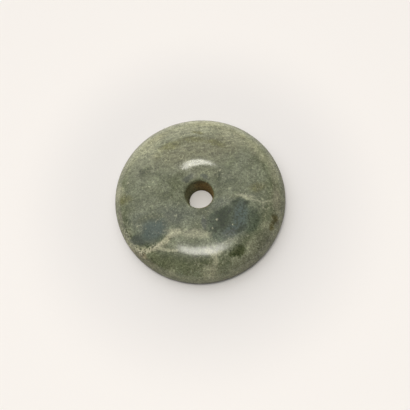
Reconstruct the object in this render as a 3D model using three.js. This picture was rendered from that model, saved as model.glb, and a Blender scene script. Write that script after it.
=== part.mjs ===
// A polished disc of mottled green-grey chalcedony, lying on its flat underside.
// It is one ground and drilled stone: a low rounded ring that falls in a shallow dish
// to a small cord hole, which tapers downwards and runs slightly off square.
// Lengths are in millimetres, angles in degrees, +Z is up.
// The origin is on the underside, in the middle of the disc's outline.

import * as THREE from "three";

// Driving dimensions of the ground form
const DISC_DIAMETER = 60;
const RIM_HEIGHT = 2.5; // the widest line of the disc, above the underside
const CREST_DIAMETER = 32.6; // the ring along which the stone is thickest
const CREST_HEIGHT = 11;
const CREST_DRIFT = -1.2; // how far the hand grinding left the crest off the middle, along X
const CREST_LAND = 1.1; // the level ring just inside the crest
const SHOULDER_FULLNESS = 2.3; // 2 is an ellipse, more is squarer
const DISH_SLOPE = 18.5; // the steady fall towards the hole, in degrees
const DISH_ROUND_RADIUS = 18.5; // the rounding between the level ring and the slope
const FOOT_ROUND_WIDTH = 4.2; // rounding between the rim and the flat underside

// The cord hole, drilled from the upper face
const HOLE_MOUTH_DIAMETER = 9.8;
const HOLE_FOOT_DIAMETER = 8.2;
const HOLE_DRIFT = 0.34; // how far the lower end of the hole lies off the middle, towards +X
const LIP_ROUNDING = 0.6;
const FOOT_EDGE_ROUNDING = 0.4;

// What the hand grinding left of a true circle
const OUTLINE_LOBES = 3;
const LOBE_SWELL = 0.06;
const LOBE_ANGLE = 21;
const WORN_SIDE = 90; // the angle at which the outline is flattest
const WORN_SPREAD = 40;
const WORN_DEPTH = 0.25;

// Facets
const STEPS_AROUND = 108;
const SHOULDER_STEPS = 12;
const DISH_ROUND_STEPS = 5;
const DISH_SLOPE_STEPS = 3;
const FOOT_ROUND_STEPS = 5;
const EDGE_STEPS = 3;

const rimRadius = DISC_DIAMETER / 2;
const crestRadius = CREST_DIAMETER / 2;
const mouthRadius = HOLE_MOUTH_DIAMETER / 2;
const holeFootRadius = HOLE_FOOT_DIAMETER / 2;
const flatRadius = rimRadius - FOOT_ROUND_WIDTH;

// The rounding from the flat underside up to the widest line
function footRound() {
  const points = [];
  for (let step = 0; step <= FOOT_ROUND_STEPS; step++) {
    const angle = ((Math.PI / 2) * step) / FOOT_ROUND_STEPS;
    const radius = flatRadius + FOOT_ROUND_WIDTH * Math.sin(angle);
    points.push(new THREE.Vector2(radius, RIM_HEIGHT * (1 - Math.cos(angle))));
  }
  return points;
}

// The domed shoulder from the widest line up to the crest, a little fuller than an ellipse
function shoulder() {
  const width = rimRadius - crestRadius;
  const rise = CREST_HEIGHT - RIM_HEIGHT;
  const points = [];
  for (let step = 0; step <= SHOULDER_STEPS; step++) {
    const angle = ((Math.PI / 2) * step) / SHOULDER_STEPS;
    const outwards = Math.max(0, Math.cos(angle)) ** (2 / SHOULDER_FULLNESS);
    const upwards = Math.sin(angle) ** (2 / SHOULDER_FULLNESS);
    points.push(new THREE.Vector2(crestRadius + width * outwards, RIM_HEIGHT + rise * upwards));
  }
  return points;
}

// The dish from the crest to the mouth of the hole: a level ring, a rounding and a steady slope.
// The rounding is no wider than the room between the ring and the rounded lip of the hole.
function dish() {
  const slope = THREE.MathUtils.degToRad(DISH_SLOPE);
  const ringRadius = crestRadius - CREST_LAND;
  const widest = (ringRadius - mouthRadius - 2 * LIP_ROUNDING) / Math.sin(slope);
  const roundRadius = Math.min(DISH_ROUND_RADIUS, widest);
  const points = [new THREE.Vector2(ringRadius, CREST_HEIGHT)];
  for (let step = 1; step <= DISH_ROUND_STEPS; step++) {
    const turned = (slope * step) / DISH_ROUND_STEPS;
    const radius = ringRadius - roundRadius * Math.sin(turned);
    points.push(new THREE.Vector2(radius, CREST_HEIGHT - roundRadius * (1 - Math.cos(turned))));
  }
  const start = points.at(-1);
  const fall = (start.x - mouthRadius) * Math.tan(slope);
  const mouth = new THREE.Vector2(mouthRadius, start.y - fall);
  for (let step = 1; step <= DISH_SLOPE_STEPS; step++) {
    points.push(start.clone().lerp(mouth, step / DISH_SLOPE_STEPS));
  }
  return points;
}

// Rounds the corner between two straight stretches; the reach along each is kept inside it
function roundedCorner(before, corner, after, reach) {
  const toBefore = before.clone().sub(corner);
  const toAfter = after.clone().sub(corner);
  const kept = Math.min(reach, toBefore.length() / 2, toAfter.length() / 2);
  const start = corner.clone().add(toBefore.setLength(kept));
  const end = corner.clone().add(toAfter.setLength(kept));
  return new THREE.QuadraticBezierCurve(start, corner, end).getPoints(EDGE_STEPS);
}

// The closed half section of the disc, run anticlockwise from the underside
function section() {
  const slope = dish();
  const mouth = slope.pop();
  const holeFoot = new THREE.Vector2(holeFootRadius, 0);
  const flatEdge = new THREE.Vector2(flatRadius, 0);
  const lip = roundedCorner(slope.at(-1), mouth, holeFoot, LIP_ROUNDING);
  const footEdge = roundedCorner(mouth, holeFoot, flatEdge, FOOT_EDGE_ROUNDING);
  const underside = footEdge.at(-1);
  return [underside, ...footRound(), ...shoulder().slice(1), ...slope, ...lip, ...footEdge];
}

// How far the outline lies outside a true circle at an angle about the disc
function outlineOffset(angle) {
  const lobes = LOBE_SWELL * Math.cos(THREE.MathUtils.degToRad(OUTLINE_LOBES * (angle - LOBE_ANGLE)));
  const away = THREE.MathUtils.euclideanModulo(angle - WORN_SIDE + 180, 360) - 180;
  return lobes - WORN_DEPTH * Math.exp(-((away / WORN_SPREAD) ** 2));
}

// 1 on the crest, falling to 0 at the hole, at the rim and on the underside
function nearCrest(radius, shareOfLipHeight) {
  const inside = THREE.MathUtils.smoothstep(radius, mouthRadius, crestRadius);
  const outside = 1 - THREE.MathUtils.smoothstep(radius, crestRadius, rimRadius);
  return inside * outside * THREE.MathUtils.smoothstep(shareOfLipHeight, 0, 1);
}

// Moves the turned form's points to the hand-ground outline, the crest and the slanting hole
function grindByHand(geometry) {
  const lipHeight = dish().at(-1).y;
  const position = geometry.attributes.position;
  const point = new THREE.Vector3();
  for (let index = 0; index < position.count; index++) {
    point.fromBufferAttribute(position, index);
    const radius = Math.hypot(point.x, point.y);
    const angle = THREE.MathUtils.radToDeg(Math.atan2(point.y, point.x));
    const towardsRim = THREE.MathUtils.smoothstep(radius, mouthRadius, rimRadius);
    const grown = 1 + (towardsRim * outlineOffset(angle)) / radius;
    const belowLip = Math.max(0, 1 - point.z / lipHeight);
    const holeDrift = HOLE_DRIFT * belowLip * (1 - towardsRim);
    point.x = point.x * grown + holeDrift + CREST_DRIFT * nearCrest(radius, point.z / lipHeight);
    point.y = point.y * grown;
    position.setXYZ(index, point.x, point.y, point.z);
  }
}

// Brings the middle of the outline onto the origin
function centreOutline(geometry) {
  geometry.computeBoundingBox();
  const middle = geometry.boundingBox.getCenter(new THREE.Vector3());
  geometry.translate(-middle.x, -middle.y, 0);
}

function makeDisc() {
  const geometry = new THREE.LatheGeometry(section(), STEPS_AROUND);
  geometry.rotateX(Math.PI / 2);
  grindByHand(geometry);
  centreOutline(geometry);
  geometry.computeVertexNormals();
  const stone = new THREE.MeshStandardMaterial({ color: 0x7b7e67, roughness: 0.28, metalness: 0 });
  const mesh = new THREE.Mesh(geometry, stone);
  mesh.name = "chalcedony_disc";
  return mesh;
}

const disc = new THREE.Group();
disc.add(makeDisc());

export default disc;
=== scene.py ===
"""A polished disc of mottled green-grey chalcedony, lying on a pale table.

The disc is one stone. Its ground form follows the frame's solid, with a finer surface: the slight
waves of hand grinding, pits along the worn stretches of the rim and faint drill rings. Lengths are in
millimetres, as a lapidary would give them, and MM turns them into Blender's metres. Angles are in
degrees.
"""

import math

import bpy
from mathutils import Matrix, Vector, noise


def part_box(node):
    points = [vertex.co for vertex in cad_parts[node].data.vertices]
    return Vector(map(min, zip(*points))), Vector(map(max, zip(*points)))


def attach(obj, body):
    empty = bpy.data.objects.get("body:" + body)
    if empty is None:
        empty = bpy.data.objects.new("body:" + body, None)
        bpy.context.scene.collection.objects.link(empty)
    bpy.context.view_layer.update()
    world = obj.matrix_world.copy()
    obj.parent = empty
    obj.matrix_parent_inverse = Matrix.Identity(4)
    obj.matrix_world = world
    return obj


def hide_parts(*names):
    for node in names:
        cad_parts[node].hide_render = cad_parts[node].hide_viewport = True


MM = 0.001
DISC_NODE = "chalcedony_disc"

# The ground form, as the frame's solid has it
DISC_DIAMETER = 60.0
RIM_HEIGHT = 2.5  # the widest line of the disc, above the underside
CREST_DIAMETER = 32.6  # the ring along which the stone is thickest
CREST_LAND = 1.1  # the level ring just inside the crest
CREST_DRIFT = -1.2  # how far the crest lies off the middle, along X
SHOULDER_FULLNESS = 2.3  # 2 is an ellipse, more is squarer
DISH_SLOPE = 18.5
DISH_ROUND_RADIUS = 18.5
FOOT_ROUND_WIDTH = 4.2
HOLE_MOUTH_DIAMETER = 9.8
HOLE_FOOT_DIAMETER = 8.2
HOLE_DRIFT = 0.34  # how far the hole's lower end lies off the middle, along X
LIP_ROUNDING = 0.6
FOOT_EDGE_ROUNDING = 0.4
RIM_RADIUS = DISC_DIAMETER / 2
CREST_RADIUS = CREST_DIAMETER / 2
MOUTH_RADIUS = HOLE_MOUTH_DIAMETER / 2

# What the hand grinding left of a true circle
OUTLINE_LOBES = 3
LOBE_SWELL = 0.06
LOBE_ANGLE = 21.0
WORN_SIDE = 90.0  # the angle at which the outline is flattest
WORN_SPREAD = 40.0
WORN_DEPTH = 0.25

# How finely the surface is divided
STEPS_AROUND = 720
FLAT_STEPS = 6
FOOT_ROUND_STEPS = 12
SHOULDER_STEPS = 52
DISH_ROUND_STEPS = 15
DISH_SLOPE_STEPS = 15
EDGE_STEPS = 6
BORE_STEPS = 14

# Relief left by the grinding, the wear and the drill
LONG_WAVE = (11.0, 0.05)  # size and height
SHORT_WAVE = (4.2, 0.015)
PIT_SIZE = 0.8
PIT_DEPTH = 0.16
PIT_EDGE = (0.1, 0.5)  # the noise at which a pit begins and is full
DRILL_RING_SPACING = 1.7
DRILL_RING_HEIGHT = 0.05

# Pitted stretches of the rim: x, y and reach. Pits are deepest within a third of the reach
PITTED = [(-28.4, -8.6, 5.0), (-24.6, -16.4, 4.0), (27.0, -12.0, 3.0)]

# The photograph's camera: it looks straight at the middle of the underside
CAMERA_ELEVATION = 72.0
CAMERA_ROLL = -10.16
CAMERA_DISTANCE = 242.5
CAMERA_CLIP_START = 10.0
SENSOR_WIDTH = 36.0
PHOTO_SIDE = 410
FOCAL_PIXELS = 680
PHOTO_CENTRE = (200.55, 202.15)  # the pixel that the middle of the underside falls on

# Light
LAMP_HEIGHT = 900.0
LAMP_AIM = (-2.4, -4.0)  # degrees off the vertical, along X and along Y
LAMP_SIZE = (390.0, 215.0)
LAMP_COLOUR = (1.0, 0.975, 0.9)
LAMP_POWER = 3.65  # in watts
ROOM_DIM = (0.06, 0.06, 0.06)
WINDOW_SIDE = (-0.2, 0.5, 0.84)
WINDOW_GLOW = (1.45, 1.42, 1.45)
WINDOW_SPREAD = 0.45  # cosine of the angle at which the glow has faded out


def smoothstep(low, high, value):
    share = min(1.0, max(0.0, (value - low) / (high - low)))
    return share * share * (3.0 - 2.0 * share)


def lerp(start, end, share):
    return start + (end - start) * share


# The section of the disc, as radius and height


def foot_round(flat_radius):
    """From the flat underside up to the widest line."""
    points = []
    for step in range(FOOT_ROUND_STEPS + 1):
        angle = math.radians(lerp(-90, 0, step / FOOT_ROUND_STEPS))
        radius = flat_radius + FOOT_ROUND_WIDTH * math.cos(angle)
        points.append((radius, RIM_HEIGHT + RIM_HEIGHT * math.sin(angle)))
    return points


def shoulder(crest_height):
    """From the widest line up to the crest, a little fuller than an ellipse."""
    points = []
    for step in range(SHOULDER_STEPS + 1):
        angle = math.pi / 2 * step / SHOULDER_STEPS
        outwards = max(0.0, math.cos(angle)) ** (2 / SHOULDER_FULLNESS)
        upwards = math.sin(angle) ** (2 / SHOULDER_FULLNESS)
        radius = lerp(CREST_RADIUS, RIM_RADIUS, outwards)
        points.append((radius, lerp(RIM_HEIGHT, crest_height, upwards)))
    return points


def straight(start, end, steps):
    """The points after start on the way to end."""
    shares = [step / steps for step in range(1, steps + 1)]
    return [(lerp(start[0], end[0], s), lerp(start[1], end[1], s)) for s in shares]


def dish(crest_height):
    """From the crest inwards: a narrow land, a rounding and a steady slope to the mouth."""
    slope = math.radians(DISH_SLOPE)
    land_edge = (CREST_RADIUS - CREST_LAND, crest_height)
    turned = []
    for step in range(1, DISH_ROUND_STEPS + 1):
        angle = slope * step / DISH_ROUND_STEPS
        radius = land_edge[0] - DISH_ROUND_RADIUS * math.sin(angle)
        height = crest_height - DISH_ROUND_RADIUS * (1 - math.cos(angle))
        turned.append((radius, height))
    start = turned[-1]
    mouth = (MOUTH_RADIUS, start[1] - (start[0] - MOUTH_RADIUS) * math.tan(slope))
    return [land_edge] + turned + straight(start, mouth, DISH_SLOPE_STEPS)


def rounded_corner(before, corner, after, reach):
    """A quadratic curve that rounds a corner, from reach before it to reach after it."""
    corner_at = Vector(corner)
    start = corner_at + (Vector(before) - corner_at).normalized() * reach
    end = corner_at + (Vector(after) - corner_at).normalized() * reach
    points = []
    for step in range(EDGE_STEPS + 1):
        share = step / EDGE_STEPS
        near = start.lerp(corner_at, share)
        far = corner_at.lerp(end, share)
        points.append(tuple(near.lerp(far, share)))
    return points


def section(crest_height):
    """The closed half section, run anticlockwise from the inner edge of the underside."""
    flat_radius = RIM_RADIUS - FOOT_ROUND_WIDTH
    flat_edge = (flat_radius, 0.0)
    hole_foot = (HOLE_FOOT_DIAMETER / 2, 0.0)
    slope = dish(crest_height)
    mouth = slope.pop()
    slope = [point for point in slope if point[0] > mouth[0] + LIP_ROUNDING]
    lip = rounded_corner(slope[-1], mouth, hole_foot, LIP_ROUNDING)
    foot_edge = rounded_corner(mouth, hole_foot, flat_edge, FOOT_EDGE_ROUNDING)
    foot = foot_round(flat_radius)
    domed = shoulder(crest_height)
    underside = straight(foot_edge[-1], flat_edge, FLAT_STEPS)
    bore = straight(lip[-1], foot_edge[0], BORE_STEPS)
    return underside[:-1] + foot + domed[1:] + slope + lip + bore[:-1] + foot_edge


def outline_offset(angle):
    """How far the hand-ground outline lies outside a true circle, at an angle in degrees."""
    offset = LOBE_SWELL * math.cos(math.radians(OUTLINE_LOBES * (angle - LOBE_ANGLE)))
    away = (angle - WORN_SIDE + 180.0) % 360.0 - 180.0
    return offset - WORN_DEPTH * math.exp(-((away / WORN_SPREAD) ** 2))


def ground_point(radius, height, angle, lip_height):
    """A point of the section, turned to an angle and moved to the hand-ground form."""
    towards_rim = smoothstep(MOUTH_RADIUS, RIM_RADIUS, radius)
    grown = radius + towards_rim * outline_offset(math.degrees(angle))
    below_lip = max(0.0, 1.0 - height / lip_height)
    drift = HOLE_DRIFT * below_lip * (1.0 - towards_rim)
    inside = smoothstep(MOUTH_RADIUS, CREST_RADIUS, radius)
    outside = smoothstep(RIM_RADIUS, CREST_RADIUS, radius)
    drift += CREST_DRIFT * inside * outside * smoothstep(0.0, lip_height, height)
    return Vector((grown * math.cos(angle) + drift, grown * math.sin(angle), height))


def relief(point):
    """How far the finished surface stands out from the ground form, in millimetres."""
    long_size, long_height = LONG_WAVE
    short_size, short_height = SHORT_WAVE
    waves = long_height * noise.noise(point / long_size)
    waves += short_height * noise.noise(point / short_size)
    rough = smoothstep(*PIT_EDGE, noise.noise(point / PIT_SIZE))
    for x, y, reach in PITTED:
        away = math.hypot(point.x - x, point.y - y)
        waves -= PIT_DEPTH * rough * smoothstep(reach, reach / 3, away)
    if math.hypot(point.x, point.y) < MOUTH_RADIUS:
        waves += DRILL_RING_HEIGHT * math.sin(2.0 * math.pi * point.z / DRILL_RING_SPACING)
    return waves * smoothstep(0.0, RIM_HEIGHT, point.z)


def lowest_in_dish(profile):
    """The height at which the dish ends and the hole begins."""
    return min(z for r, z in profile if MOUTH_RADIUS < r < CREST_RADIUS and z > RIM_HEIGHT)


def turned_faces(count):
    """The faces between neighbouring turns of a section that has that many points."""
    faces = []
    for turn in range(STEPS_AROUND):
        here = turn * count
        there = (turn + 1) % STEPS_AROUND * count
        for step in range(count):
            after = (step + 1) % count
            faces.append((here + step, there + step, there + after, here + after))
    return faces


def make_disc(crest_height):
    """The stone as one closed mesh, centred on the frame's solid."""
    profile = section(crest_height)
    lip_height = lowest_in_dish(profile)
    points = []
    for turn in range(STEPS_AROUND):
        angle = 2.0 * math.pi * turn / STEPS_AROUND
        for radius, height in profile:
            points.append(ground_point(radius, height, angle, lip_height))
    middle_x = (min(p.x for p in points) + max(p.x for p in points)) / 2
    middle_y = (min(p.y for p in points) + max(p.y for p in points)) / 2
    offset = Vector((middle_x, middle_y, 0.0))
    mesh = bpy.data.meshes.new("chalcedony_stone")
    mesh.from_pydata([(p - offset) * MM for p in points], [], turned_faces(len(profile)))
    mesh.update()
    normals = [vertex.normal.copy() for vertex in mesh.vertices]
    for vertex, normal in zip(mesh.vertices, normals):
        vertex.co += normal * relief(vertex.co / MM) * MM
    mesh.update()
    for polygon in mesh.polygons:
        polygon.use_smooth = True
    stone = bpy.data.objects.new("chalcedony_stone", mesh)
    bpy.context.scene.collection.objects.link(stone)
    return stone


# Shading written as expressions. Some sockets share a name, so they go by their number
OBJECT_COORDINATES = 3
MIX_FACTOR = 0
MIX_FIRST_COLOUR = 6
MIX_SECOND_COLOUR = 7
MIXED_COLOUR = 2


class Flow:
    """A node's output in a material. Arithmetic on it adds the Math nodes."""

    def __init__(self, sheet, output):
        self.sheet = sheet
        self.output = output

    def maths(self, operation, *values):
        settings = {"operation": operation}
        return self.sheet.node("ShaderNodeMath", settings, dict(enumerate(values)))

    def __add__(self, other):
        return self.maths("ADD", self, other)

    def __radd__(self, other):
        return self.maths("ADD", other, self)

    def __sub__(self, other):
        return self.maths("SUBTRACT", self, other)

    def __rsub__(self, other):
        return self.maths("SUBTRACT", other, self)

    def __mul__(self, other):
        return self.maths("MULTIPLY", self, other)

    def __rmul__(self, other):
        return self.maths("MULTIPLY", other, self)

    def __abs__(self):
        return self.maths("ABSOLUTE", self)

    def at_least(self, other):
        """The greater of the two."""
        return self.maths("MAXIMUM", self, other)

    def at_most(self, other):
        """The lesser of the two."""
        return self.maths("MINIMUM", self, other)


class Sheet:
    """A material, or the room's light, being written: every node of it comes from node()."""

    def __init__(self, name, kind=bpy.data.materials):
        self.material = kind.new(name)
        self.material.use_nodes = True
        self.tree = self.material.node_tree
        self.tree.nodes.clear()

    def node(self, kind, settings=None, values=None, output=0):
        """Adds a node and returns one of its outputs, if it has any."""
        made = self.tree.nodes.new(kind)
        for name, setting in (settings or {}).items():
            setattr(made, name, setting)
        for name, value in (values or {}).items():
            socket = made.inputs[name]
            if isinstance(value, Flow):
                self.tree.links.new(value.output, socket)
            else:
                socket.default_value = value
        return Flow(self, made.outputs[output]) if made.outputs else None

    def vector(self, operation, *values, output=0):
        settings = {"operation": operation}
        return self.node("ShaderNodeVectorMath", settings, dict(enumerate(values)), output)

    def scaled(self, vector, factor):
        values = {"Vector": vector, "Scale": factor}
        return self.node("ShaderNodeVectorMath", {"operation": "SCALE"}, values)

    def part(self, point, axis):
        """A point's X, Y or Z."""
        return self.node("ShaderNodeSeparateXYZ", None, {"Vector": point}, "XYZ".index(axis))

    def mix(self, factor, first, second):
        """Between two colours."""
        settings = {"data_type": "RGBA", "clamp_factor": True}
        values = {MIX_FACTOR: factor, MIX_FIRST_COLOUR: first, MIX_SECOND_COLOUR: second}
        return self.node("ShaderNodeMix", settings, values, MIXED_COLOUR)

    def step(self, value, low, high):
        """A soft step: 0 at low and 1 at high."""
        settings = {"interpolation_type": "SMOOTHSTEP"}
        values = {"Value": value, "From Min": low, "From Max": high}
        return self.node("ShaderNodeMapRange", settings, values)

    def grain(self, point, size, detail, roughness, output=0):
        """Noise whose blotches are about size millimetres across. Output 1 is a colour."""
        values = {"Vector": point, "Scale": 1.0 / size, "Detail": detail, "Roughness": roughness}
        return self.node("ShaderNodeTexNoise", None, values, output)

    def warped(self, point, size, reach):
        """The point pushed about by noise, by up to reach millimetres."""
        colour = self.grain(point, size, *BEND_GRAIN, 1)
        push = self.vector("SUBTRACT", colour, (0.5, 0.5, 0.5))
        return self.vector("ADD", point, self.scaled(push, 2.0 * reach))

    def nearness(self, point, centre, half_size, turn):
        """1 at an ellipsoid's centre, falling evenly to 0 on its surface."""
        values = {
            "Vector": point,
            "Location": centre,
            "Rotation": (0.0, 0.0, math.radians(turn)),
            "Scale": half_size,
        }
        inside = self.node("ShaderNodeMapping", {"vector_type": "TEXTURE"}, values)
        settings = {"gradient_type": "SPHERICAL"}
        return self.node("ShaderNodeTexGradient", settings, {"Vector": inside}, 1)

    def clouds(self, point, ellipsoids, edge):
        """1 inside any ellipsoid and 0 outside them all, with edges of that softness."""
        nearest = None
        for centre, half_size, turn in ellipsoids:
            grown = tuple(size * (1.0 + edge) for size in half_size)
            near = self.nearness(point, centre, grown, turn)
            nearest = near if nearest is None else nearest.at_least(near)
        return self.step(nearest, 0.0, 2.0 * edge / (1.0 + edge))

    def vein(self, point, path, width, edge):
        """1 along a path of points and 0 further from it than its width."""
        nearest = None
        for start, end in zip(path, path[1:]):
            along = Vector(end) - Vector(start)
            offset = self.vector("SUBTRACT", point, start)
            dot = self.vector("DOT_PRODUCT", offset, tuple(along / along.length_squared), output=1)
            share = dot.at_least(0.0).at_most(1.0)
            reach = self.scaled(tuple(along), share)
            gap = self.vector("DISTANCE", offset, reach, output=1)
            nearest = gap if nearest is None else nearest.at_most(gap)
        return self.step(nearest, width * (1.0 + edge), width * (1.0 - edge))


def srgb(red, green, blue):
    """A colour given as it is seen, from 0 to 255, as the linear colour of a shader."""
    linear = []
    for value in (red, green, blue):
        share = value / 255.0
        linear.append(share / 12.92 if share <= 0.04045 else ((share + 0.055) / 1.055) ** 2.4)
    return (*linear, 1.0)


# The stone's own colours
BODY_DARK = srgb(93, 98, 74)
BODY_LIGHT = srgb(118, 123, 99)
GREEN_CREAM = srgb(158, 159, 132)
WARM_CREAM = srgb(156, 156, 129)
BRIGHT_CREAM = srgb(178, 175, 148)
YELLOW_CREAM = srgb(171, 170, 137)
PINK_CREAM = srgb(138, 136, 115)
WARM_BODY = srgb(122, 122, 95)
OLIVE = srgb(103, 103, 64)
# also painted sheen on the dish's far slope, between the glint and the hole
LIGHT_BODY_AND_SHEEN = srgb(127, 130, 106)
GREY_BODY = srgb(97, 103, 88)
BROWN_GREY = srgb(104, 105, 87)
CRUST = srgb(150, 137, 109)
SHADE_GREEN = srgb(84, 89, 65)
FIELD_GREEN = srgb(70, 80, 61)
DARK_GREEN = srgb(42, 52, 28)
BLUE_GREY = srgb(69, 82, 74)
SLATE = srgb(85, 92, 80)
VIOLET_GREY = srgb(76, 81, 74)
SPOT_GREEN = srgb(80, 85, 58)
SPOT_CORE = srgb(46, 54, 26)
BROWN = srgb(82, 77, 48)
BORE_BROWN = srgb(138, 117, 75)
BORE_OLIVE = srgb(132, 133, 100)
# painted shade for the foot's rounding, below the widest line
PAINTED_FOOT_SHADE = srgb(52, 50, 36)
WORN = srgb(146, 146, 121)

# Clouds of colour, each kind laid over the one before: its colour, strength and softness of edge,
# and then each cloud's middle, half length and half width in the plan, and turn in degrees
CLOUD_DEPTH = 7.0
CLOUDS = [
    (WARM_BODY, 0.8, 0.6, [
        (1.0, 15.0, 17.0, 5.0, 0.0),
        (13.0, 17.0, 6.0, 5.0, -30.0),
    ]),
    (GREEN_CREAM, 0.88, 0.8, [
        (1.0, 27.0, 21.0, 6.0, 0.0),
        (16.0, 20.5, 6.5, 3.2, -45.0),
        (-20.0, 19.0, 7.5, 3.0, 48.0),
        (26.8, 4.4, 1.4, 5.6, 0.0),
        (-27.8, 6.0, 1.8, 3.5, 10.0),
        (-0.5, -27.2, 2.6, 2.2, 0.0),
        (15.0, -4.0, 3.0, 0.5, -18.0),
    ]),
    (GREEN_CREAM, 0.5, 0.6, [
        (14.0, -22.0, 1.5, 2.4, 0.0),
        (10.0, -26.2, 4.5, 1.2, 18.0),
        (20.8, -15.6, 2.0, 1.8, -35.0),
        (-25.8, -8.4, 0.9, 1.9, 12.0),
        (-13.8, -23.6, 1.6, 2.6, -20.0),
        (22.0, -17.2, 1.6, 1.6, 0.0),
        (25.6, -11.2, 1.0, 1.4, 0.0),
        (8.4, -24.8, 1.6, 1.2, 0.0),
        (12.2, -24.4, 2.0, 1.4, 0.0),
    ]),
    (OLIVE, 0.75, 0.6, [
        (-7.0, 18.9, 4.4, 1.5, 12.0),
        (1.6, 19.7, 4.6, 1.2, -6.0),
        (8.6, 16.9, 3.4, 1.2, -30.0),
        (3.4, 22.4, 2.2, 0.7, -22.0),
        (-12.2, 15.8, 1.2, 1.6, 0.0),
        (-25.6, 2.7, 2.6, 1.7, -15.0),
        (20.0, -1.8, 2.6, 1.6, 10.0),
    ]),
    (YELLOW_CREAM, 0.7, 0.8, [
        (-12.4, 22.6, 4.2, 1.5, 20.0),
        (-15.4, 18.6, 3.6, 1.8, 35.0),
        (-13.2, 15.8, 1.2, 1.0, 0.0),
        (18.6, 18.5, 1.2, 0.9, 0.0),
        (7.0, 26.0, 4.5, 1.2, -12.0),
    ]),
    (WARM_CREAM, 0.6, 0.9, [
        (22.0, 14.0, 2.3, 1.7, -25.0),
        (24.0, 9.6, 1.5, 2.4, 8.0),
        (12.6, 22.6, 2.0, 1.4, -30.0),
        (17.0, 19.6, 1.3, 1.1, 0.0),
        (21.8, 11.6, 1.6, 1.6, 0.0),
    ]),
    (WARM_CREAM, 0.65, 0.5, [
        (-10.6, -12.4, 2.8, 1.4, -12.0),
        (-4.0, -14.0, 5.2, 1.5, -15.0),
        (-16.3, -15.9, 3.4, 1.0, 12.0),
        (2.0, -21.8, 2.2, 1.0, 8.0),
        (-27.4, -9.0, 1.1, 4.4, 17.0),
    ]),
    (PINK_CREAM, 0.8, 0.6, [
        (25.6, -6.8, 1.7, 4.4, -8.0),
        (-24.6, -15.4, 2.0, 0.8, -38.0),
        (-28.0, -2.4, 0.8, 2.4, 0.0),
    ]),
    (LIGHT_BODY_AND_SHEEN, 0.8, 0.8, [
        (-18.0, 14.5, 6.5, 4.5, 45.0),
        # painted sheen on the dish's far slope, between the glint and the hole
        (1.5, 9.0, 6.0, 3.2, 0.0),
    ]),
    (GREY_BODY, 0.8, 0.8, [
        (-9.0, -6.0, 7.0, 3.6, 0.0),
        (-22.0, -6.6, 5.0, 3.0, 0.0),
        (6.5, -5.0, 3.5, 2.0, -10.0),
    ]),
    (BROWN_GREY, 0.85, 0.6, [
        (15.0, -24.0, 6.0, 2.2, 28.0),
        (18.6, -20.6, 6.4, 3.2, 45.0),
        (24.8, -13.4, 2.2, 3.0, -20.0),
    ]),
    (SHADE_GREEN, 0.8, 0.5, [
        (-10.0, -21.7, 9.6, 3.3, -8.0),
        (-2.0, -23.8, 3.6, 1.5, 0.0),
        (-16.8, 11.0, 2.4, 1.9, 30.0),
        (0.0, -6.4, 2.4, 1.2, 0.0),
        (-18.0, -6.2, 4.5, 1.6, 0.0),
        (12.0, -18.4, 2.2, 1.2, 0.0),
        (5.8, -20.3, 1.4, 0.9, 25.0),
    ]),
    (FIELD_GREEN, 0.9, 0.3, [
        (4.2, -11.4, 3.4, 4.4, 0.0),
        (9.5, -11.5, 8.0, 5.2, 5.0),
        (12.8, -7.4, 3.4, 2.7, 0.0),
        (5.5, -16.0, 4.2, 2.3, 12.0),
        (14.6, -12.4, 4.2, 4.4, 0.0),
    ]),
    (SLATE, 0.85, 0.6, [
        (-21.8, -12.3, 3.8, 2.2, -30.0),
        (8.0, -15.8, 3.6, 1.4, 8.0),
    ]),
    (BLUE_GREY, 0.95, 0.5, [
        (-17.3, -10.4, 4.3, 3.5, 18.0),
        (12.6, -10.9, 2.4, 4.6, -14.0),
        (9.2, -14.9, 3.4, 1.3, 6.0),
    ]),
    (VIOLET_GREY, 0.7, 0.4, [
        (-23.4, -12.4, 2.6, 1.4, -32.0),
        (8.0, -15.6, 2.4, 0.8, 0.0),
        (-0.3, -10.6, 1.0, 2.4, 0.0),
        (-3.2, 6.4, 2.0, 1.1, 20.0),
        (2.9, 6.0, 1.5, 0.8, -20.0),
        (16.4, -24.5, 0.9, 0.5, 20.0),
    ]),
    (DARK_GREEN, 0.85, 0.7, [
        (6.6, -8.8, 2.2, 1.6, 20.0),
        (6.2, -11.6, 1.7, 2.2, -15.0),
        (3.6, -13.6, 1.6, 0.7, 20.0),
        (11.6, -5.6, 1.7, 0.7, 6.0),
        (15.6, -6.4, 0.8, 0.9, 0.0),
        (11.4, -15.6, 1.6, 0.6, 18.0),
    ]),
    (DARK_GREEN, 0.45, 0.9, [
        (17.3, -11.6, 1.6, 3.0, 0.0),
        (7.6, 4.4, 0.8, 2.6, -15.0),
        (11.0, 2.4, 2.0, 1.0, 20.0),
        (5.8, -10.2, 2.8, 3.4, 0.0),
    ]),
    (SPOT_GREEN, 0.95, 0.35, [
        (9.8, -22.3, 2.0, 2.0, 8.0),
        (7.9, -22.9, 1.7, 0.9, 0.0),
    ]),
    (SPOT_CORE, 0.4, 0.6, [
        (10.3, -21.0, 0.9, 0.8, 0.0),
        (9.0, -23.2, 1.3, 0.7, 10.0),
    ]),
    (CRUST, 0.85, 0.5, [
        (-26.2, -14.2, 1.7, 0.8, -58.0),
        (-23.4, -16.8, 2.8, 0.9, -40.0),
        (-13.0, -14.0, 1.4, 0.7, 35.0),
    ]),
    (BROWN, 0.85, 0.45, [
        (23.9, -13.4, 1.2, 1.8, 10.0),
        (22.4, -15.6, 0.8, 1.5, -20.0),
    ]),
    (BROWN, 0.55, 0.6, [
        (-21.0, -20.4, 4.4, 1.3, -43.0),
    ]),
]

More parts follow.
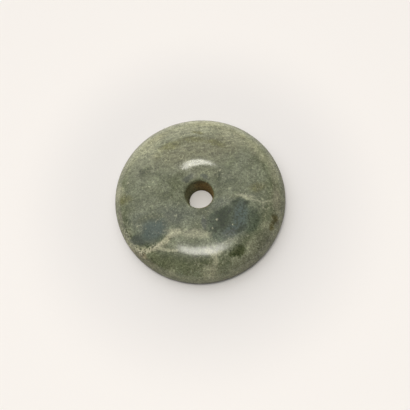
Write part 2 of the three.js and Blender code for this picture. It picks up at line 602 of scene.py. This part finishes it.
# Veins, each kind laid over the one before: its colour, strength and softness of edge, and then
# each vein's path in the plan and its half width
VEINS = [
    (WARM_CREAM, 0.85, 0.6, [
        ([
            (-28.5, -10.6), (-26.0, -13.2), (-23.4, -15.2),
            (-20.6, -16.9), (-17.4, -16.4), (-14.2, -14.8),
        ], 0.75),
        ([(-14.2, -14.8), (-12.0, -13.2), (-9.6, -12.0)], 0.8),
        ([(-16.5, -16.4), (-14.0, -17.6), (-10.5, -18.6)], 0.6),
        ([(-0.5, -20.6), (1.6, -22.4), (1.2, -25.0), (-1.0, -28.0)], 0.9),
    ]),
    (BRIGHT_CREAM, 0.9, 0.8, [
        ([(-24.6, -14.8), (-22.6, -16.4), (-20.6, -17.0), (-17.6, -16.4), (-15.6, -15.2)], 0.55),
    ]),
    (GREEN_CREAM, 0.6, 0.8, [
        ([(14.5, -4.6), (16.6, -5.4), (18.6, -6.4), (21.0, -7.6), (22.6, -7.2), (24.6, -6.2)], 0.28),
        ([(21.0, -7.6), (20.4, -9.2), (21.8, -10.0), (22.8, -9.0), (22.6, -7.2)], 0.25),
    ]),
]
VEIN_HEIGHTS = (0.5, 4.0)  # veins fade in between these heights, so the foot has none

# Where dark specks lie thick. This list and those below give each cloud as CLOUDS does
STREWN_EDGE = 0.4
STREWN = [
    (9.5, -11.5, 9.0, 6.0, 5.0),
    (-27.6, -9.0, 2.2, 3.8, 12.0),
    (-23.6, -15.8, 3.4, 1.6, -38.0),
    (-19.4, -15.6, 2.8, 1.4, 15.0),
    (9.2, -22.2, 2.6, 2.4, 0.0),
]

# Where the stone is a little paler or darker than the colours above make it. Some darker places are
# painted shade: the near side of the hole's lip and the rim where it meets the table on the near
# right
TONE_EDGE = 0.7
PALER_STRENGTH = 0.22
DARKER_AND_SHADE_STRENGTH = 0.2
PALER = [
    (2.5, 6.6, 1.8, 1.5, 0.0),
    (22.8, 15.4, 7.5, 2.0, -56.0),
    (27.6, -2.6, 1.0, 4.0, 0.0),
    (-25.6, -9.8, 2.6, 4.2, 20.0),
    (-12.6, -23.6, 5.5, 1.9, -20.0),
    (-18.8, -18.4, 2.4, 1.2, -35.0),
    (-8.5, -14.9, 1.6, 1.0, 0.0),
    (3.4, -17.4, 2.6, 1.2, 0.0),
    (5.8, -20.4, 2.4, 1.0, 15.0),
    (12.9, -23.4, 1.5, 2.4, 0.0),
    (21.8, -16.9, 1.4, 1.8, 0.0),
    (15.5, -12.0, 2.2, 4.6, 0.0),
    (-13.6, 5.0, 2.6, 3.6, 0.0),
    (-25.5, 9.4, 1.4, 3.0, 10.0),
    (12.8, 8.7, 1.5, 1.5, 0.0),
    (-9.0, 17.5, 4.0, 2.2, 0.0),
    (11.7, -24.6, 2.2, 1.6, 10.0),
    (16.0, -16.1, 1.8, 1.4, 0.0),
    (24.8, -12.4, 1.0, 1.8, 0.0),
    (-7.2, 4.4, 1.8, 3.0, 0.0),
    (-14.5, -23.2, 1.8, 2.8, -20.0),
    (-17.4, 20.5, 4.5, 1.6, 45.0),
    (24.6, 8.4, 1.2, 3.2, 0.0),
    (15.7, -19.6, 2.4, 1.8, 0.0),
    (-6.0, -28.2, 6.5, 1.3, -12.0),
    (9.0, 25.8, 9.0, 1.8, -18.0),
]
DARKER_AND_SHADE = [
    (26.0, 0.9, 1.1, 3.2, 0.0),
    (20.7, -3.4, 1.5, 3.8, 0.0),
    (11.3, 4.4, 3.2, 1.5, 0.0),
    # painted shade on the near side of the hole's lip
    (0.4, -5.6, 4.6, 1.4, 0.0),
    (0.9, -8.6, 1.7, 2.4, 0.0),
    (-9.0, -7.2, 2.4, 2.6, 0.0),
    (-19.5, -1.4, 2.6, 2.2, 0.0),
    (-14.2, -16.2, 2.4, 1.2, 0.0),
    (7.6, -26.4, 4.4, 1.6, 15.0),
    (6.0, -9.4, 2.4, 2.4, 0.0),
    (17.4, 18.2, 2.4, 1.4, -30.0),
    (17.8, 8.9, 2.0, 1.2, 0.0),
    (26.2, 0.4, 1.2, 3.0, 0.0),
    (20.2, -7.8, 1.8, 2.6, 0.0),
    (23.4, -9.0, 1.0, 1.6, 0.0),
    (-7.0, 16.7, 2.0, 1.2, 0.0),
    (-1.3, 18.7, 1.0, 2.0, 0.0),
    (-11.3, 4.0, 1.4, 1.2, 0.0),
    (-18.8, 10.6, 1.4, 3.6, 10.0),
    (-1.6, -21.7, 3.2, 0.9, 0.0),
    # painted shade along the rim where it meets the table, on the near right
    (21.4, -19.8, 3.4, 0.8, 43.0),
    (27.4, -10.4, 0.8, 3.2, -20.0),
    (-5.4, -13.2, 1.8, 1.2, 0.0),
    (-17.6, -17.0, 1.6, 1.0, 0.0),
    (1.0, -26.8, 2.6, 1.8, 0.0),
    (-27.8, -2.5, 1.0, 2.6, 0.0),
]

# Where the polish has gone
DULL_EDGE = 0.5
DULL = [
    (-13.2, -15.6, 4.2, 2.0, -39.0),
]

# Single pale flecks
SINGLE_FLECK_EDGE = 0.3
SINGLE_FLECK_STRENGTH = 0.8
SINGLE_FLECKS = [
    (4.4, -10.6, 0.45, 0.45, 0.0),
    (2.4, -13.3, 0.35, 0.35, 0.0),
    (9.3, -13.3, 0.25, 0.25, 0.0),
    (-23.6, 8.3, 0.4, 0.4, 0.0),
    (8.5, 6.8, 0.4, 0.4, 0.0),
]

# Noises of the stone: size, detail, roughness, and the offset that sets each apart from the others
GRAINS = {
    "body": (5.0, 4.0, 0.6, None),
    "speckle": (0.56, 3.0, 0.75, None),
    "mottle": (1.7, 3.0, 0.6, (31.0, 7.0, 3.0)),
    "streaks": (0.8, 3.0, 0.6, None),
    "coils": (1.5, 1.0, 0.5, (12.0, 44.0, 6.0)),
    "pale_flecks": (0.9, 2.0, 0.6, (3.0, 51.0, 9.0)),
    "dark_specks": (0.8, 2.0, 0.6, (71.0, 5.0, 2.0)),
    "hair_paths": (5.5, 4.0, 0.6, (5.0, 17.0, 40.0)),
    "hair_patches": (9.0, 1.0, 0.5, (9.0, 2.0, 8.0)),
    "fine_ripples": (0.9, 3.0, 0.6, None),
    "broad_ripples": (3.0, 1.0, 0.5, None),
}
LONG_BEND = (4.5, 1.1)  # size and reach of the noise that bends the clouds and veins
SHORT_BEND = (1.0, 0.5)
BEND_GRAIN = (2.0, 0.6)  # its detail and roughness

# How strongly each noise lightens and darkens the stone
SPECKLE_STRENGTH = 1.9
SPECKLE_LOST = 0.5  # how much less of it there is where the stone is streaked
MOTTLE_STRENGTH = 0.8
STREAK_STRENGTH = 1.2
STREAK_ANGLE = -12.0
STREAK_SQUEEZE = 0.2  # the noise's scale along a streak
STREAKED = (-2.0, 14.0)  # streaks fade in between these places along Y
THREAD_STRENGTH = 0.5
THREAD_RANGE = (0.035, 0.0)  # how far from the noise's middle a thread begins and is full
THREAD_SHARE = 0.2  # how much of the stone the threads take up
CALM_LOSS = 0.35  # how much less grain the calm colours show
CALM_COLOURS = (BLUE_GREY, VIOLET_GREY, SPOT_GREEN)

# What lies in the stone. Each range says at what noise it begins and is full
BODY_RANGE = (0.35, 0.65)
PALE_FLECK_RANGE = (0.6, 0.72)
PALE_FLECK_STRENGTH = 0.5
DARK_SPECK_RANGE = (0.6, 0.7)
DARK_SPECK_STRENGTH = 0.35  # twice this where they lie thick
THICK_SPECKS = 0.12  # how much lower their range lies there
HAIR_RANGE = (0.014, 0.002)  # how far from the noise's middle
HAIR_PATCH_RANGE = (0.45, 0.6)
HAIR_STRENGTH = 0.45

# The worn rim, the foot's rounding darkened with painted shade, and the stained hole. Each pair says
# where it begins and is full, and the ragged numbers how far its edge wanders
WORN_BAND = (2.0, 0.5)  # inside the rim
WORN_RAGGED = 2.0
WORN_STRENGTH = 0.42
# The foot's painted shade: its heights, radii, ragged edge and strength
FOOT_SHADE_HEIGHTS = (1.0, -0.5)  # above the widest line
FOOT_SHADE_RADII = (22.5, 27.5)
FOOT_SHADE_RAGGED = 4.0
FOOT_SHADE_STRENGTH = 0.8
STAIN_BAND = (0.25, -0.1)  # outside the mouth of the hole
STAIN_RAGGED = 0.6
LIP_BAND = (0.6, 0.2)

# The stain of the hole: olive turns to brown along X and blotches vary it. Painted shade darkens it
# downwards
BROWN_SIDE = (-2.5, 1.5)
BROWN_RAGGED = 6.0
BLOTCH_RANGE = (0.35, 0.65)
BLOTCH_LOW = 0.45
BLOTCH_GAIN = 0.7
BORE_SHADE_HEIGHTS = (0.5, 5.0)
BORE_SHADE_LOW = 0.57
BORE_SHADE_GAIN = 0.66

# The polish, and what makes it rougher: matte grains, the side towards the viewer and wear
REFRACTION = 1.54
SHINE = 0.32
POLISHED_ROUGHNESS = 0.12
MATTE_RANGE = (0.45, 0.75)
MATTE_ROUGHNESS = 0.15
NEAR_SIDE = (-8.0, -18.0)  # along Y
NEAR_ROUGHNESS = 0.04
WORN_ROUGHNESS = 0.15
RIPPLE_HEIGHT = 0.012

# Where there is no polish, and how much of it is lost in the places that keep some
UNPOLISHED_ROUGHNESS = 0.9
UNPOLISHED_SHINE = 0.05
FOOT_POLISH_LOSS = 0.9
WORN_LOSS = 0.6
DULL_LOSS = 0.85

# The table's colour: a soft pool of painted shade about the disc, and the plain colour away from it
TABLE_SHADE_POOL = (34.0, 72.0)
TABLE_SHADED_NEAR = srgb(228, 226, 224)
TABLE_FAR = srgb(242, 239, 235)
TABLE_ROUGHNESS = 0.85
TABLE_SIDE = 8000.0


def top_height(radius, crest_height):
    """How high the upper surface lies at a radius, near enough to hang a colour on."""
    outwards = max(0.0, (radius - CREST_RADIUS) / (RIM_RADIUS - CREST_RADIUS))
    upwards = max(0.0, 1.0 - outwards**SHOULDER_FULLNESS) ** (1 / SHOULDER_FULLNESS)
    return lerp(RIM_HEIGHT, crest_height, upwards)


def cloud_mask(sheet, point, clouds, edge, crest_height):
    """1 inside any of the clouds, fading out over their soft edges."""
    ellipsoids = []
    for x, y, half_length, half_width, turn in clouds:
        centre = (x, y, top_height(math.hypot(x, y), crest_height))
        ellipsoids.append((centre, (half_length, half_width, CLOUD_DEPTH), turn))
    return sheet.clouds(point, ellipsoids, edge)


def stone_grain(sheet, point, kind):
    """One of the GRAINS, about 0.5 on the whole."""
    size, detail, roughness, offset = GRAINS[kind]
    if offset:
        point = sheet.vector("ADD", point, offset)
    return sheet.grain(point, size, detail, roughness)


def stone_colour(sheet, point, crest_height):
    """Returns the colour, how smooth-grained the stone is and how thick the dark specks lie."""
    bent = sheet.warped(sheet.warped(point, *LONG_BEND), *SHORT_BEND)
    plan = sheet.vector("MULTIPLY", bent, (1.0, 1.0, 0.0))
    body = sheet.step(stone_grain(sheet, point, "body"), *BODY_RANGE)
    colour = sheet.mix(body, BODY_DARK, BODY_LIGHT)
    calm = 0.0
    for tint, strength, edge, clouds in CLOUDS:
        mask = cloud_mask(sheet, bent, clouds, edge, crest_height)
        colour = sheet.mix(mask * strength, colour, tint)
        if tint in CALM_COLOURS:
            calm = mask.at_least(calm)
    upper = sheet.step(sheet.part(point, "Z"), *VEIN_HEIGHTS)
    for tint, strength, edge, veins in VEINS:
        for path, width in veins:
            spots = [(x, y, 0.0) for x, y in path]
            mask = sheet.vein(plan, spots, width, edge) * upper * strength
            colour = sheet.mix(mask, colour, tint)
    flecks = cloud_mask(sheet, point, SINGLE_FLECKS, SINGLE_FLECK_EDGE, crest_height)
    colour = sheet.mix(flecks * SINGLE_FLECK_STRENGTH, colour, WARM_CREAM)
    strewn = cloud_mask(sheet, bent, STREWN, STREWN_EDGE, crest_height)
    paler = cloud_mask(sheet, bent, PALER, TONE_EDGE, crest_height)
    # the paler places are the stone's tone; the darker ones include painted shade
    darker_and_shade = cloud_mask(sheet, bent, DARKER_AND_SHADE, TONE_EDGE, crest_height)
    gain = 1.0 + paler * PALER_STRENGTH - darker_and_shade * DARKER_AND_SHADE_STRENGTH
    return sheet.scaled(colour, gain), calm, strewn


def with_inclusions(sheet, point, colour, lively, strewn):
    """The colour with pale flecks, dark specks and hair veins."""
    clear = 1.0 - strewn
    flecks = sheet.step(stone_grain(sheet, point, "pale_flecks"), *PALE_FLECK_RANGE)
    colour = sheet.mix(flecks * lively * clear * PALE_FLECK_STRENGTH, colour, GREEN_CREAM)
    dotted = stone_grain(sheet, point, "dark_specks") + strewn * THICK_SPECKS
    specks = sheet.step(dotted, *DARK_SPECK_RANGE) * (1.0 + strewn) * DARK_SPECK_STRENGTH
    colour = sheet.mix(specks, colour, DARK_GREEN)
    wander = stone_grain(sheet, point, "hair_paths")
    hair = sheet.step(abs(wander - 0.5), *HAIR_RANGE)
    where = sheet.step(stone_grain(sheet, point, "hair_patches"), *HAIR_PATCH_RANGE)
    return sheet.mix(hair * where * clear * lively * HAIR_STRENGTH, colour, WARM_CREAM)


def grain_gain(sheet, point, lively, speckle, mottle):
    """How much the fine grain lightens and darkens the stone, about 1 on the whole."""
    turned = {
        "Vector": point,
        "Rotation": (0.0, 0.0, math.radians(STREAK_ANGLE)),
        "Scale": (STREAK_SQUEEZE, 1.0, 1.0),
    }
    streaks = stone_grain(sheet, sheet.node("ShaderNodeMapping", None, turned), "streaks")
    streaky = sheet.step(sheet.part(point, "Y"), *STREAKED)
    coils = stone_grain(sheet, point, "coils")
    threads = sheet.step(abs(coils - 0.5), *THREAD_RANGE)
    light = (speckle - 0.5) * (SPECKLE_STRENGTH - streaky * SPECKLE_LOST)
    light = light + (mottle - 0.5) * MOTTLE_STRENGTH
    light = light + (streaks - 0.5) * streaky * STREAK_STRENGTH
    light = light + (threads - THREAD_SHARE) * THREAD_STRENGTH
    return 1.0 + light * lively


def bore_stain_and_shade(sheet, point, height, speckle, ragged):
    """The hole's wall: olive on the left and brown on the right, blotched, with painted shade darker
    low down.
    """
    sideways = sheet.part(point, "X") + ragged * BROWN_RAGGED
    wall_colour = sheet.mix(sheet.step(sideways, *BROWN_SIDE), BORE_OLIVE, BORE_BROWN)
    wall_colour = sheet.scaled(wall_colour, BLOTCH_LOW + sheet.step(speckle, *BLOTCH_RANGE) * BLOTCH_GAIN)
    # painted shade, darker low in the hole
    return sheet.scaled(wall_colour, BORE_SHADE_LOW + sheet.step(height, *BORE_SHADE_HEIGHTS) * BORE_SHADE_GAIN)


def stone_material(crest_height):
    """Polished stone, turning dull where it is worn or drilled and on the foot, which is darkened
    with painted shade.
    """
    sheet = Sheet("polished_chalcedony")
    place = sheet.node("ShaderNodeTexCoord", output=OBJECT_COORDINATES)
    point = sheet.scaled(place, 1.0 / MM)
    out = sheet.vector("LENGTH", sheet.vector("MULTIPLY", point, (1.0, 1.0, 0.0)), output=1)
    height = sheet.part(point, "Z")
    speckle = stone_grain(sheet, point, "speckle")
    mottle = stone_grain(sheet, point, "mottle")
    ragged = mottle - 0.5

    # Where the stone is worn, darkened with painted shade at the foot, stained and dull
    worn = sheet.step(out + ragged * WORN_RAGGED, *(RIM_RADIUS - inside for inside in WORN_BAND))
    # the foot mask marks painted shade on the foot's rounding
    foot = sheet.step(height, *(RIM_HEIGHT + above for above in FOOT_SHADE_HEIGHTS))
    foot = foot * sheet.step(out + ragged * FOOT_SHADE_RAGGED, *FOOT_SHADE_RADII)
    bore = sheet.step(out + ragged * STAIN_RAGGED, *(MOUTH_RADIUS + past for past in STAIN_BAND))
    lip = sheet.step(out, *(MOUTH_RADIUS + past for past in LIP_BAND))
    dull = cloud_mask(sheet, point, DULL, DULL_EDGE, crest_height)

    colour, calm, strewn = stone_colour(sheet, point, crest_height)
    lively = 1.0 - calm * CALM_LOSS
    colour = with_inclusions(sheet, point, colour, lively, strewn)
    colour = sheet.mix(worn * WORN_STRENGTH, colour, WORN)
    # painted shade darkens the foot's rounding
    colour = sheet.mix(foot * FOOT_SHADE_STRENGTH, colour, PAINTED_FOOT_SHADE)
    colour = sheet.scaled(colour, grain_gain(sheet, point, lively, speckle, mottle))
    # the wall's stain, with painted shade low in the hole
    wall_colour = bore_stain_and_shade(sheet, point, height, speckle, ragged)

    matte = sheet.step(speckle, *MATTE_RANGE)
    nearer = sheet.step(sheet.part(point, "Y"), *NEAR_SIDE)
    roughness = POLISHED_ROUGHNESS + matte * MATTE_ROUGHNESS + nearer * NEAR_ROUGHNESS
    fine = stone_grain(sheet, point, "fine_ripples")
    broad = stone_grain(sheet, point, "broad_ripples")
    values = {"Strength": 1.0, "Distance": RIPPLE_HEIGHT * MM, "Height": fine + broad}
    bumped = sheet.node("ShaderNodeBump", None, values)
    values = {
        "Base Color": colour,
        "Roughness": roughness + worn * WORN_ROUGHNESS,
        "IOR": REFRACTION,
        "Specular IOR Level": SHINE,
        "Normal": bumped,
    }
    polished = sheet.node("ShaderNodeBsdfPrincipled", None, values)
    values = {
        "Base Color": sheet.mix(bore, colour, wall_colour),
        "Roughness": UNPOLISHED_ROUGHNESS,
        "Specular IOR Level": UNPOLISHED_SHINE,
    }
    unpolished = sheet.node("ShaderNodeBsdfPrincipled", None, values)
    share = lip.at_least(foot * FOOT_POLISH_LOSS).at_least(worn * WORN_LOSS).at_least(dull * DULL_LOSS)
    shader = sheet.node("ShaderNodeMixShader", None, {0: share, 1: polished, 2: unpolished})
    sheet.node("ShaderNodeOutputMaterial", None, {"Surface": shader})
    return sheet.material


def table_material():
    """Plain off-white, with painted shade: a little greyer in a soft pool about the disc."""
    sheet = Sheet("pale_table")
    place = sheet.node("ShaderNodeTexCoord", output=OBJECT_COORDINATES)
    away = sheet.vector("LENGTH", sheet.scaled(place, 1.0 / MM), output=1)
    # painted shade: greyer near the disc
    colour = sheet.mix(sheet.step(away, *TABLE_SHADE_POOL), TABLE_SHADED_NEAR, TABLE_FAR)
    values = {"Base Color": colour, "Roughness": TABLE_ROUGHNESS}
    shader = sheet.node("ShaderNodeBsdfPrincipled", None, values)
    sheet.node("ShaderNodeOutputMaterial", None, {"Surface": shader})
    return sheet.material


def make_table():
    """The pale table that the disc lies on."""
    half = TABLE_SIDE / 2 * MM
    mesh = bpy.data.meshes.new("table")
    corners = [(-half, -half, 0.0), (half, -half, 0.0), (half, half, 0.0), (-half, half, 0.0)]
    mesh.from_pydata(corners, [], [(0, 1, 2, 3)])
    table = bpy.data.objects.new("table", mesh)
    bpy.context.scene.collection.objects.link(table)
    mesh.materials.append(table_material())


def make_camera():
    """The photograph's camera, aimed at the middle of the underside."""
    elevation = math.radians(CAMERA_ELEVATION)
    roll = math.radians(CAMERA_ROLL)
    back = Vector((0.0, -math.cos(elevation), math.sin(elevation)))
    level = Vector((1.0, 0.0, 0.0))
    upright = back.cross(level)
    right = level * math.cos(roll) + upright * math.sin(roll)
    up = upright * math.cos(roll) - level * math.sin(roll)
    data = bpy.data.cameras.new("photo_camera")
    data.sensor_width = SENSOR_WIDTH
    data.lens = SENSOR_WIDTH * FOCAL_PIXELS / PHOTO_SIDE
    data.shift_x = 0.5 - PHOTO_CENTRE[0] / PHOTO_SIDE
    data.shift_y = PHOTO_CENTRE[1] / PHOTO_SIDE - 0.5
    data.clip_start = CAMERA_CLIP_START * MM
    camera = bpy.data.objects.new("photo_camera", data)
    bpy.context.scene.collection.objects.link(camera)
    turned = Matrix((right, up, back)).transposed().to_4x4()
    camera.matrix_world = Matrix.Translation(back * CAMERA_DISTANCE * MM) @ turned
    bpy.context.scene.camera = camera


def make_lamp():
    """An oval ceiling lamp, facing the disc."""
    lamp_x, lamp_y = (LAMP_HEIGHT * math.tan(math.radians(angle)) for angle in LAMP_AIM)
    place = Vector((lamp_x, lamp_y, LAMP_HEIGHT))
    data = bpy.data.lights.new("ceiling_lamp", "AREA")
    data.shape = "ELLIPSE"
    data.size = LAMP_SIZE[0] * MM
    data.size_y = LAMP_SIZE[1] * MM
    data.color = LAMP_COLOUR
    data.energy = LAMP_POWER
    lamp = bpy.data.objects.new("ceiling_lamp", data)
    lamp.location = place * MM
    lamp.rotation_euler = place.to_track_quat("Z", "Y").to_euler()
    bpy.context.scene.collection.objects.link(lamp)


def light_room():
    """A dim room that glows softly from the window's side."""
    sheet = Sheet("room", bpy.data.worlds)
    direction = sheet.node("ShaderNodeTexCoord")
    towards = tuple(Vector(WINDOW_SIDE).normalized())
    facing = sheet.vector("DOT_PRODUCT", direction, towards, output=1)
    share = sheet.step(facing, WINDOW_SPREAD, 1.0)
    colour = sheet.vector("ADD", sheet.scaled(WINDOW_GLOW, share), ROOM_DIM)
    shader = sheet.node("ShaderNodeBackground", None, {"Color": colour})
    sheet.node("ShaderNodeOutputWorld", None, {"Surface": shader})
    bpy.context.scene.world = sheet.material


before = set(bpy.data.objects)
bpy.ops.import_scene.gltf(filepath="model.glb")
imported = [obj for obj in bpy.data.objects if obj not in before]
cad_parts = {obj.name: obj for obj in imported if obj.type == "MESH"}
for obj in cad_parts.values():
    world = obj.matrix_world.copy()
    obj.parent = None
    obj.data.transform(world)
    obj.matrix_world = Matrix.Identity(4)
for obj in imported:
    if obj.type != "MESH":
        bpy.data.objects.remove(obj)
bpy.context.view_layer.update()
bpy.context.scene.view_settings.view_transform = "Standard"

make_camera()
make_lamp()
light_room()
make_table()

crest_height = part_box(DISC_NODE)[1].z / MM
stone = make_disc(crest_height)
stone.data.materials.append(stone_material(crest_height))
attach(stone, "root")
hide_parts(DISC_NODE)
